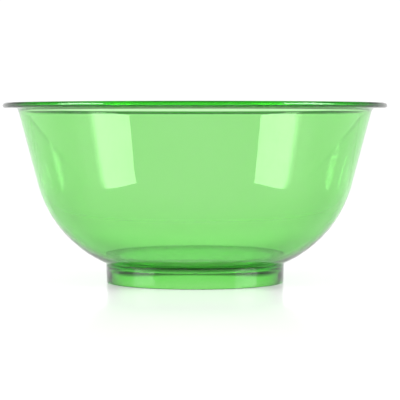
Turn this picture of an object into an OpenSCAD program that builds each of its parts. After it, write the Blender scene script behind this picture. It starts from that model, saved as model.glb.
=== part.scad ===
// Mixing bowl, moulded in one shot from clear green plastic.
// A straight, leaning side wall runs down into a rounded belly, the belly meets a flat floor,
// and the whole bowl stands on a low foot ring. A flat flange goes round the mouth.
//
// The real bowl is a single moulding. It is split here into its zones, which meet face to face,
// so that each zone is a plain turned solid:
//   rim_flange  flange, lip, and the first few millimetres of wall under it
//   side_wall   straight, leaning wall
//   belly       upper half of the rounding
//   heel        lower, thicker half of the rounding, which turns in towards the foot
//   bowl_floor  flat disc that closes the bottom
//   foot_ring   ring that the bowl stands on
// The origin is on the axis at the table, with +Z up.

/* [Bowl] */
// Diameter over the lip
rim_d = 280; // [276:1:284]
// Height from the table to the top of the flange
bowl_h = 131; // [129:1:135]
// Thickness of the straight side wall
wall_t = 2.5; // [2:0.1:3.5]
// Lean of the side wall from upright, in degrees
wall_lean = 14.8; // [14.4:0.1:15.4]
// Height at which the straight wall turns into the belly
belly_top = 71.5; // [70.5:0.5:72.5]
// Outside radius of the rounded belly
belly_r = 86.5; // [85.5:0.5:87.5]
// Lean of the rounding where the belly ends and the heel begins, in degrees
heel_lean = 42; // [36:1:48]

/* [Rim] */
// Width of the flange, from the lip to the outside of the wall
flange_w = 10.8; // [9.5:0.1:12.5]
// Thickness of the flange, with a lip rounded to half of it
flange_t = 4; // [3:0.1:4.5]
// Fillet between the underside of the flange and the wall
flange_fillet = 3; // [1:0.1:4]
// Rounding of the inner edge of the mouth
mouth_round = 2.2; // [1:0.1:3]

/* [Floor] */
// Diameter of the flat floor inside
floor_d = 132; // [131:1:136]
// Height of the floor's upper face over the table
floor_top = 18.1; // [17.8:0.1:19.5]
// Thickness of the floor
floor_t = 3; // [2:0.1:3.5]

/* [Foot] */
// Outside diameter of the foot ring where the belly meets it
foot_d = 130.4; // [128:0.2:131.6]
// Thickness of the foot ring at its sole
foot_t = 2.6; // [2.4:0.1:3.2]
// Draft of the foot ring's outer face, in degrees
foot_draft = 2; // [0:0.5:2.5]
// Draft of the foot ring's inner face, in degrees
foot_in_draft = 6; // [2:0.5:8]
// Fillet between the foot ring's inner face and the underside of the floor
foot_fillet = 5; // [2:0.5:7]
// Rounding of the foot ring's lower edges
foot_round = 0.5; // [0.3:0.1:0.7]

/* [Hidden] */

plastic = [0.36, 0.86, 0.28, 0.6];
turn_fn = 180;   // facets of the turned solids
fine_n = 8;      // steps in a quarter turn of a lip, fillet or small rounding
belly_n = 16;    // steps along the belly or the heel, inside and outside

rim_r = rim_d / 2;
floor_r = floor_d / 2;
flange_under = bowl_h - flange_t;

// Outside: a straight line at wall_lean, then an arc that is tangent to it at belly_top.
wall_r = rim_r - flange_w - (flange_under - belly_top) * tan(wall_lean);
out_start = [wall_r, belly_top];
belly_c = [wall_r - belly_r * cos(wall_lean), belly_top + belly_r * sin(wall_lean)];

// Inside: the same line moved in by wall_t, then an arc tangent to it that ends at the floor's edge,
// so the belly grows thicker towards the foot.
in_start = [wall_r - wall_t * cos(wall_lean), belly_top + wall_t * sin(wall_lean)];
in_drop = in_start - [floor_r, floor_top];
in_r = (in_drop * in_drop) / (2 * (in_drop[0] * cos(wall_lean) - in_drop[1] * sin(wall_lean)));
in_c = in_start + in_r * [-cos(wall_lean), sin(wall_lean)];
in_end = asin((in_c[1] - floor_top) / in_r);

// The foot ring's outside meets the belly here.
foot_r = foot_d / 2;
neck_z = belly_z(foot_r);
floor_under = floor_top - floor_t;
foot_out_low = foot_r - neck_z * tan(foot_draft);
foot_in_low = foot_out_low - foot_t;

// The rim is cut from the wall on the level plane where the fillet starts.
rim_cut = flange_under - flange_fillet;

// Points of an arc about c, from angle a to angle b, in n steps.
function arc(c, r, a, b, n) = [for (i = [0:n]) c + r * [cos(a + (b - a) * i / n), sin(a + (b - a) * i / n)]];
// Radius of the wall's outer and inner face at height z, along the straight part.
function wall_out(z) = wall_r + (z - belly_top) * tan(wall_lean);
function wall_in(z) = in_start[0] + (z - in_start[1]) * tan(wall_lean);
// Height of the belly's outer face at radius r, and the arc's angle there.
function belly_z(r) = belly_c[1] - sqrt(pow(belly_r, 2) - pow(r - belly_c[0], 2));
function belly_angle(r) = acos((r - belly_c[0]) / belly_r);
// Radius of the foot ring's two faces at height z.
function foot_out(z) = foot_out_low + z * tan(foot_draft);
function foot_in(z) = foot_in_low - z * tan(foot_in_draft);

module turned(outline) {
    color(plastic) rotate_extrude($fn = turn_fn) polygon(outline);
}

module rim_flange() {
    lip_r = flange_t / 2;
    fillet_c = [wall_out(rim_cut) + flange_fillet / cos(wall_lean), rim_cut];
    mouth_z = bowl_h - mouth_round;
    mouth_c = [wall_in(mouth_z) + mouth_round / cos(wall_lean), mouth_z];
    turned(concat(
        [[wall_in(rim_cut), rim_cut], [wall_out(rim_cut), rim_cut]],
        arc(fillet_c, flange_fillet, 180 - wall_lean, 90, fine_n),
        arc([rim_r - lip_r, bowl_h - lip_r], lip_r, -90, 90, 2 * fine_n),
        arc(mouth_c, mouth_round, 90, 180 - wall_lean, fine_n)
    ));
}

module side_wall() {
    turned([[wall_in(rim_cut), rim_cut], in_start, out_start, [wall_out(rim_cut), rim_cut]]);
}

module belly() {
    turned(concat(
        arc(in_c, in_r, -wall_lean, -heel_lean, belly_n),
        arc(belly_c, belly_r, -heel_lean, -wall_lean, belly_n)
    ));
}

module heel() {
    turned(concat(
        arc(in_c, in_r, -heel_lean, -in_end, belly_n),
        arc(belly_c, belly_r, -belly_angle(floor_r), -heel_lean, belly_n)
    ));
}

module bowl_floor() {
    color(plastic) translate([0, 0, floor_under]) cylinder(r = floor_r, h = floor_t, $fn = turn_fn);
}

module foot_ring() {
    fillet_z = floor_under - foot_fillet;
    fillet_x = foot_in(fillet_z) - foot_fillet / cos(foot_in_draft);
    sole_in = foot_in(foot_round) + foot_round / cos(foot_in_draft);
    sole_out = foot_out(foot_round) - foot_round / cos(foot_draft);
    turned(concat(
        arc([fillet_x, fillet_z], foot_fillet, 90, foot_in_draft, 2 * fine_n),
        arc([sole_in, foot_round], foot_round, 180 + foot_in_draft, 270, fine_n),
        arc([sole_out, foot_round], foot_round, -90, -foot_draft, fine_n),
        [[foot_r, neck_z], [floor_r, belly_z(floor_r)], [floor_r, floor_under]]
    ));
}

rim_flange();
side_wall();
belly();
heel();
bowl_floor();
foot_ring();
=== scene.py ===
import bpy
import math
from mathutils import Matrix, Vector


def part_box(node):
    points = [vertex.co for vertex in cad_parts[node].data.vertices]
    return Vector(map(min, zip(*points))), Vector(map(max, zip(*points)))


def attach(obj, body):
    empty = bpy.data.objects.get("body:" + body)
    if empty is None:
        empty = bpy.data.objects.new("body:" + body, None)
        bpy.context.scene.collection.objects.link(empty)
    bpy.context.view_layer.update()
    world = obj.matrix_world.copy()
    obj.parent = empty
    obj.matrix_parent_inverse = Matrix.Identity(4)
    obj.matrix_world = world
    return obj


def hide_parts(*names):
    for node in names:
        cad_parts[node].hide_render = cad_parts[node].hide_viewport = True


# A clear green mixing bowl, moulded in one shot. Light runs through the whole moulding
# without meeting a joint, so one closed mesh stands for all six zones of the frame.

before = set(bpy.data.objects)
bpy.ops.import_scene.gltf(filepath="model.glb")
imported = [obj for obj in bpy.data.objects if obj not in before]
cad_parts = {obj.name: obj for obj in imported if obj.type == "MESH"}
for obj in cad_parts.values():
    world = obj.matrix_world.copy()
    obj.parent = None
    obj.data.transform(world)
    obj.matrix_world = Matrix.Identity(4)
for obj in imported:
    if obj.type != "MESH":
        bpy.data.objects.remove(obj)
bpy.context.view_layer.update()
print("frame loaded:", ", ".join(sorted(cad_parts)))


def mm(value):
    return value / 1000


def srgb(hexColour):
    channels = [int(hexColour[i:i + 2], 16) / 255 for i in (1, 3, 5)]
    linear = [c / 12.92 if c <= 0.04045 else ((c + 0.055) / 1.055) ** 2.4 for c in channels]
    return (*linear, 1)


def addNode(tree, kind, settings=None, links=None):
    node = tree.nodes.new("ShaderNode" + kind)
    for key, value in (settings or {}).items():
        if hasattr(node, key):
            setattr(node, key, value)
        else:
            node.inputs[key].default_value = value
    for key, output in (links or {}).items():
        tree.links.new(output, node.inputs[key])
    return node


# The pen draws a section in the XZ plane by extruding one vertex and spinning it round arc
# centres, and the finished outline is then spun about the axis.

pen = Vector((0, 0))


def startOutline(name, x, z):
    bpy.ops.object.select_all(action="DESELECT")
    bpy.ops.mesh.primitive_plane_add(size=mm(1), location=(x, 0, z))
    piece = bpy.context.object
    piece.name = name
    bpy.ops.object.transform_apply(location=True, rotation=True, scale=True)
    bpy.ops.object.mode_set(mode="EDIT")
    bpy.ops.mesh.select_mode(type="VERT")
    bpy.ops.mesh.select_all(action="SELECT")
    bpy.ops.mesh.merge(type="CENTER")  # leaves one vertex, the pen's point
    pen.xy = x, z
    return piece


def lineTo(x, z, steps=1):
    step = ((x - pen.x) / steps, 0, (z - pen.y) / steps)
    for _ in range(steps):
        bpy.ops.mesh.extrude_vertices_move(TRANSFORM_OT_translate={"value": step})
    pen.xy = x, z


def arcTo(centre, x, z, steps):
    # takes the short way round the centre
    start, end = pen - centre, Vector((x, z)) - centre
    turn = math.atan2(start.cross(end), start.dot(end))
    bpy.ops.mesh.spin(steps=steps, angle=turn, center=(centre.x, 0, centre.y), axis=(0, 1, 0))
    pen.xy = x, z


def roundInto(corner, ahead, radius, steps=6):
    # draws up to a corner and rounds it, and stops on the line that leads ahead
    corner, ahead = Vector(corner), Vector(ahead)
    back = (pen - corner).normalized()
    out = (ahead - corner).normalized()
    half = back.angle(out) / 2
    centre = corner + (back + out).normalized() * radius / math.sin(half)
    lineTo(*(corner + back * radius / math.tan(half)))
    arcTo(centre, *(corner + out * radius / math.tan(half)), steps)


def tangentArc(start, lean, end):
    # centre and radius of the arc that leaves the leaning wall smoothly and meets the end
    inward = Vector((-math.cos(lean), math.sin(lean)))
    drop = end - start
    radius = drop.length_squared / (2 * drop.dot(inward))
    return start + inward * radius, radius


bowlShape = {  # millimetres and degrees
    "flangeFillet": 3,  # between the flange's underside and the wall
    "mouthRound": 2.2,
    "footOuter": 65.2,  # radius of the foot ring where the heel meets it
    "footThick": 2.6,  # at the sole
    "footDraft": 2,
    "footInnerDraft": 6,
    "footFillet": 5,  # between the ring's inner face and the underside of the floor
    "footRound": 0.5,
    "neckFillet": 0.6,  # in the crease between the heel and the foot ring
    "floorFillet": 1.2,  # in the crease round the floor, inside
    "gateRadius": 1.6,  # stub left where the plastic entered the mould, under the floor
    "gateHeight": 0.4,
    "gateRound": 0.32,
    "mergeWithin": 0.005,  # closes the seam and both poles
    "smoothUnder": 35,  # faces that meet at less than this shade as one surface
    "turnSteps": 288,
    "arcSteps": 44,  # along the belly and heel, outside and inside
    "lineSteps": 14,  # along the wall and under the floor
}


def zoneSizes():
    # the zones' sizes, read from their boxes in the frame
    rimLow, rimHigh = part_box("rim_flange")
    wallLow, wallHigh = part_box("side_wall")
    bellyLow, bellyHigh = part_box("belly")
    floorLow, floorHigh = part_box("bowl_floor")
    lean = math.atan((wallHigh.x - bellyHigh.x) / (rimLow.z - wallLow.z))
    outerStart = Vector((bellyHigh.x, wallLow.z))
    thick = (bellyHigh.z - wallLow.z) / math.sin(lean)
    innerStart = outerStart + thick * Vector((-math.cos(lean), math.sin(lean)))
    heelEdge = Vector((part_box("heel")[1].x, bellyLow.z))
    return {
        "rim": rimHigh.x, "top": rimHigh.z, "cut": rimLow.z, "lean": lean,
        "outerStart": outerStart, "outer": tangentArc(outerStart, lean, heelEdge),
        "innerStart": innerStart, "inner": tangentArc(innerStart, lean, floorHigh.xz),
        "floorTop": floorHigh.z, "floorUnder": floorLow.z,
    }


def drawFoot(shape, size):
    # from the gate mark on the axis, under the floor, round the foot ring to the heel
    centre, radius = size["outer"]
    under = size["floorUnder"]
    outer, fillet = mm(shape["footOuter"]), mm(shape["footFillet"])
    draft, innerDraft = math.radians(shape["footDraft"]), math.radians(shape["footInnerDraft"])
    neck = centre.y - math.sqrt(radius ** 2 - (outer - centre.x) ** 2)
    outerLow = outer - neck * math.tan(draft)
    innerLow = outerLow - mm(shape["footThick"])
    gate = mm(shape["gateRadius"])
    roundInto((gate, pen.y), (gate, under), mm(shape["gateRound"]), 3)
    lineTo(gate, under)
    bendHeight = under - fillet
    innerFace = innerLow - bendHeight * math.tan(innerDraft)
    bend = Vector((innerFace - fillet / math.cos(innerDraft), bendHeight))
    lineTo(bend.x, under, shape["lineSteps"])
    arcTo(bend, *(bend + fillet * Vector((math.cos(innerDraft), math.sin(innerDraft)))), 12)
    sole = mm(shape["footRound"])
    roundInto((innerLow, 0), (outerLow, 0), sole)
    roundInto((outerLow, 0), (outer, neck), sole)

    # the neck's fillet touches the ring's side and the heel's arc
    soft = mm(shape["neckFillet"])
    side = Vector((math.cos(draft), -math.sin(draft)))
    a = outerLow + soft / math.cos(draft) - centre.x
    slope = math.tan(draft)
    half = (centre.y - slope * a) / (1 + slope ** 2)
    rest = (a ** 2 + centre.y ** 2 - (radius + soft) ** 2) / (1 + slope ** 2)
    z = half - math.sqrt(half ** 2 - rest)
    mid = Vector((centre.x + a + slope * z, z))
    lineTo(*(mid - side * soft), 6)
    arcTo(mid, *(mid + (centre - mid).normalized() * soft), 6)


def drawOutside(shape, size):
    # up the heel, the belly and the wall, then out under the flange and round the lip
    lean, cut, top, rim = size["lean"], size["cut"], size["top"], size["rim"]
    start, fillet = size["outerStart"], mm(shape["flangeFillet"])
    arcTo(size["outer"][0], *start, shape["arcSteps"])
    wallAtCut = start.x + (cut - start.y) * math.tan(lean)
    bend = Vector((wallAtCut + fillet / math.cos(lean), cut))
    lineTo(*(bend + fillet * Vector((-math.cos(lean), math.sin(lean)))), shape["lineSteps"])
    arcTo(bend, bend.x, cut + fillet, 8)
    lip = (top - cut - fillet) / 2
    lineTo(rim - lip, cut + fillet, 4)
    lipCentre = Vector((rim - lip, top - lip))
    arcTo(lipCentre, rim, top - lip, 10)
    arcTo(lipCentre, rim - lip, top, 10)


def drawInside(shape, size):
    # over the flange into the mouth, down the wall and the belly, and in across the floor
    centre, radius = size["inner"]
    lean, top, floorTop = size["lean"], size["top"], size["floorTop"]
    start, mouth = size["innerStart"], mm(shape["mouthRound"])
    wallAtMouth = start.x + (top - mouth - start.y) * math.tan(lean)
    bend = Vector((wallAtMouth + mouth / math.cos(lean), top - mouth))
    lineTo(bend.x, top, 5)
    arcTo(bend, *(bend + mouth * Vector((-math.cos(lean), math.sin(lean)))), 8)
    lineTo(*start, shape["lineSteps"])
    fillet = mm(shape["floorFillet"])
    drop = centre.y - floorTop - fillet
    bend = Vector((centre.x + math.sqrt((radius - fillet) ** 2 - drop ** 2), floorTop + fillet))
    arcTo(centre, *(bend + (bend - centre).normalized() * fillet), shape["arcSteps"])
    arcTo(bend, bend.x, floorTop, 6)
    lineTo(0, floorTop, 16)


def makeBowl(shape):
    size = zoneSizes()
    bowl = startOutline("bowl_moulding", 0, size["floorUnder"] - mm(shape["gateHeight"]))
    drawFoot(shape, size)
    drawOutside(shape, size)
    drawInside(shape, size)
    bpy.ops.mesh.select_all(action="SELECT")
    bpy.ops.mesh.spin(steps=shape["turnSteps"], angle=math.tau, center=(0, 0, 0), axis=(0, 0, 1))
    bpy.ops.mesh.select_all(action="SELECT")
    bpy.ops.mesh.remove_doubles(threshold=mm(shape["mergeWithin"]))
    bpy.ops.mesh.normals_make_consistent(inside=False)
    bpy.ops.object.mode_set(mode="OBJECT")
    bpy.ops.object.shade_smooth_by_angle(angle=math.radians(shape["smoothUnder"]))
    return bowl


bowl = makeBowl(bowlShape)
print("bowl moulded:", len(bowl.data.polygons), "faces")


plastic = {
    "tint": "#F4F4F4",  # takes a little of every colour at each surface, matched
    "shine": "#C8C8C8",  # weaker than the IOR alone would give, matched
    "absorb": "#8EF655",  # what the pigment lets through
    "density": 300,  # per metre
    "ior": 1.57,  # styrene-acrylonitrile
    "gloss": 0.015,  # roughness of the clean skin
    "scuffed": 0.05,  # and of the faintly rubbed patches
    "waveSize": 30,  # millimetres, the faint swell that moulding leaves in a thin wall
    "waveHeight": 0.012,
    "scuffSize": 1.5,
}


def clearStyrene(look):
    # styrene-acrylonitrile moulded in a polished tool. It is clear right through and has a
    # wet gloss. Its green deepens wherever light runs a long way inside: lip, heel and neck.
    material = bpy.data.materials.new("clear_green_SAN_moulded")
    material.use_nodes = True
    tree = material.node_tree
    tree.nodes.clear()
    place = addNode(tree, "TexCoord").outputs["Object"]
    swell = addNode(tree, "TexNoise", {"Scale": 1 / mm(look["waveSize"]), "Detail": 1},
                    {"Vector": place})
    bump = addNode(tree, "Bump", {"Distance": mm(look["waveHeight"]), "Strength": 1},
                   {"Height": swell.outputs["Fac"]})
    scuffs = addNode(tree, "TexNoise", {"Scale": 1 / mm(look["scuffSize"]), "Detail": 4},
                     {"Vector": place})
    rough = addNode(tree, "MapRange", {"From Min": 0.55, "From Max": 0.75, "To Min": look["gloss"],
                                       "To Max": look["scuffed"]}, {"Value": scuffs.outputs["Fac"]})
    skin = addNode(tree, "BsdfPrincipled", {
        "Base Color": srgb(look["tint"]), "IOR": look["ior"], "Transmission Weight": 1,
        "Specular Tint": srgb(look["shine"]),
    }, {"Roughness": rough.outputs["Result"], "Normal": bump.outputs["Normal"]})
    body = addNode(tree, "VolumeAbsorption", {"Color": srgb(look["absorb"]),
                                              "Density": look["density"]})
    addNode(tree, "OutputMaterial", None, {"Surface": skin.outputs["BSDF"],
                                           "Volume": body.outputs["Volume"]})
    return material


bowl.data.materials.append(clearStyrene(plastic))
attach(bowl, "root")
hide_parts("rim_flange", "side_wall", "belly", "heel", "bowl_floor", "foot_ring")
print("plastic applied")


studio = {  # pale floor, white surround, a softbox on either side
    "floorSize": 8,  # metres
    "floorBehind": 0.5,  # the board ends here, behind the bowl
    "floorGap": 0.1,  # millimetres under the foot ring
    "floorColour": "#F2F2F2",
    "floorRough": 0.1,
    "floorIor": 1.12,  # a thin satin skin, which mirrors only a little even at a low angle
    "floorGlow": 0.13,  # the board glows faintly by itself
    "surround": 1.08,
    "overhead": 0.25,
    "surroundEnds": 0.15,  # sines of the heights between which it dims to the overhead
    "overheadStarts": 0.4,
    "softboxTurn": 70,  # degrees from the camera
    "softboxDistance": 1.6,
    "softboxWidth": 1.03,
    "softboxLow": 0.02,
    "softboxHigh": 1.05,
    "softboxGlow": 20,
    "softboxFade": 0.3,  # the part of its size over which its foot and its back edge fade
    "softboxEdge": 0.1,  # what is left of its light there
}


def makeFloor(look):
    bpy.ops.object.select_all(action="DESELECT")
    middle = look["floorBehind"] - look["floorSize"] / 2
    bpy.ops.mesh.primitive_plane_add(size=look["floorSize"],
                                     location=(0, middle, -mm(look["floorGap"])))
    floor = bpy.context.object
    floor.name = "studio_floor"
    material = bpy.data.materials.new("painted_board")  # satin white paint
    material.use_nodes = True
    tree = material.node_tree
    tree.nodes.clear()
    skin = addNode(tree, "BsdfPrincipled", {"Base Color": srgb(look["floorColour"]),
                                            "Roughness": look["floorRough"],
                                            "IOR": look["floorIor"],
                                            "Emission Color": (1, 1, 1, 1),
                                            "Emission Strength": look["floorGlow"]})
    addNode(tree, "OutputMaterial", None, {"Surface": skin.outputs["BSDF"]})
    floor.data.materials.append(material)


def makeSurround(look):
    # white all round at the height of the bowl, and dim overhead
    world = bpy.data.worlds.new("studio")
    bpy.context.scene.world = world
    world.use_nodes = True
    tree = world.node_tree
    tree.nodes.clear()
    direction = addNode(tree, "TexCoord").outputs["Generated"]
    split = addNode(tree, "SeparateXYZ", None, {"Vector": direction})
    level = addNode(tree, "MapRange", {
        "From Min": look["surroundEnds"], "From Max": look["overheadStarts"],
        "To Min": look["surround"], "To Max": look["overhead"], "interpolation_type": "SMOOTHSTEP",
    }, {"Value": split.outputs["Z"]})
    sky = addNode(tree, "Background", {"Color": (1, 1, 1, 1)},
                  {"Strength": level.outputs["Result"]})
    addNode(tree, "OutputWorld", None, {"Surface": sky.outputs["Background"]})


def glowingCloth(look, back):
    # diffuser cloth, evenly lit, that fades towards its foot and its back edge
    material = bpy.data.materials.new("diffuser_cloth")
    material.use_nodes = True
    tree = material.node_tree
    tree.nodes.clear()
    across = addNode(tree, "SeparateXYZ", None, {"Vector": addNode(tree, "TexCoord").outputs["UV"]})
    fade = look["softboxFade"]
    fades = [addNode(tree, "MapRange", {
        "From Min": edge, "From Max": abs(edge - fade), "To Min": look["softboxEdge"],
        "interpolation_type": "SMOOTHSTEP",
    }, {"Value": across.outputs[axis]}) for axis, edge in (("X", back), ("Y", 0))]
    both = addNode(tree, "Math", {"operation": "MULTIPLY"})
    for i, part in enumerate(fades):
        tree.links.new(part.outputs["Result"], both.inputs[i])
    level = addNode(tree, "MapRange", {"To Max": look["softboxGlow"]},
                    {"Value": both.outputs["Value"]})
    light = addNode(tree, "Emission", {"Color": (1, 1, 1, 1)},
                    {"Strength": level.outputs["Result"]})
    addNode(tree, "OutputMaterial", None, {"Surface": light.outputs["Emission"]})
    return material


def makeSoftboxes(look):
    height = (look["softboxLow"] + look["softboxHigh"]) / 2
    for name, side, back in (("left", -1, 1), ("right", 1, 0)):
        turn = math.radians(look["softboxTurn"])
        place = look["softboxDistance"] * Vector((side * math.sin(turn), -math.cos(turn), 0))
        bpy.ops.mesh.primitive_plane_add(size=1, location=place + Vector((0, 0, height)))
        box = bpy.context.object
        box.name = "softbox_" + name
        box.rotation_euler = (-place).to_track_quat("Z", "Y").to_euler()
        box.scale = (look["softboxWidth"], look["softboxHigh"] - look["softboxLow"], 1)
        box.data.materials.append(glowingCloth(look, back))
        box.visible_camera = False
        box.visible_transmission = False  # no stray streaks through the plastic


makeFloor(studio)
makeSurround(studio)
makeSoftboxes(studio)
print("studio lit")


cameraPlace = {  # a long lens, just under the height of the rim
    "distance": 1.351,  # metres from the axis
    "height": 0.1168,
    "aimAside": 3.6,  # millimetres
    "aimHeight": 60,
    "focal": 166.2,
}


def makeCamera(look):
    bpy.ops.object.camera_add(location=(0, -look["distance"], look["height"]))
    camera = bpy.context.object
    aim = Vector((mm(look["aimAside"]), 0, mm(look["aimHeight"])))
    camera.rotation_euler = (aim - camera.location).to_track_quat("-Z", "Y").to_euler()
    camera.data.lens = look["focal"]
    camera.data.clip_start = 0.01
    bpy.context.scene.camera = camera


makeCamera(cameraPlace)

scene = bpy.context.scene
scene.view_settings.view_transform = "Standard"
scene.cycles.max_bounces = 24
scene.cycles.transmission_bounces = 24
scene.cycles.glossy_bounces = 12
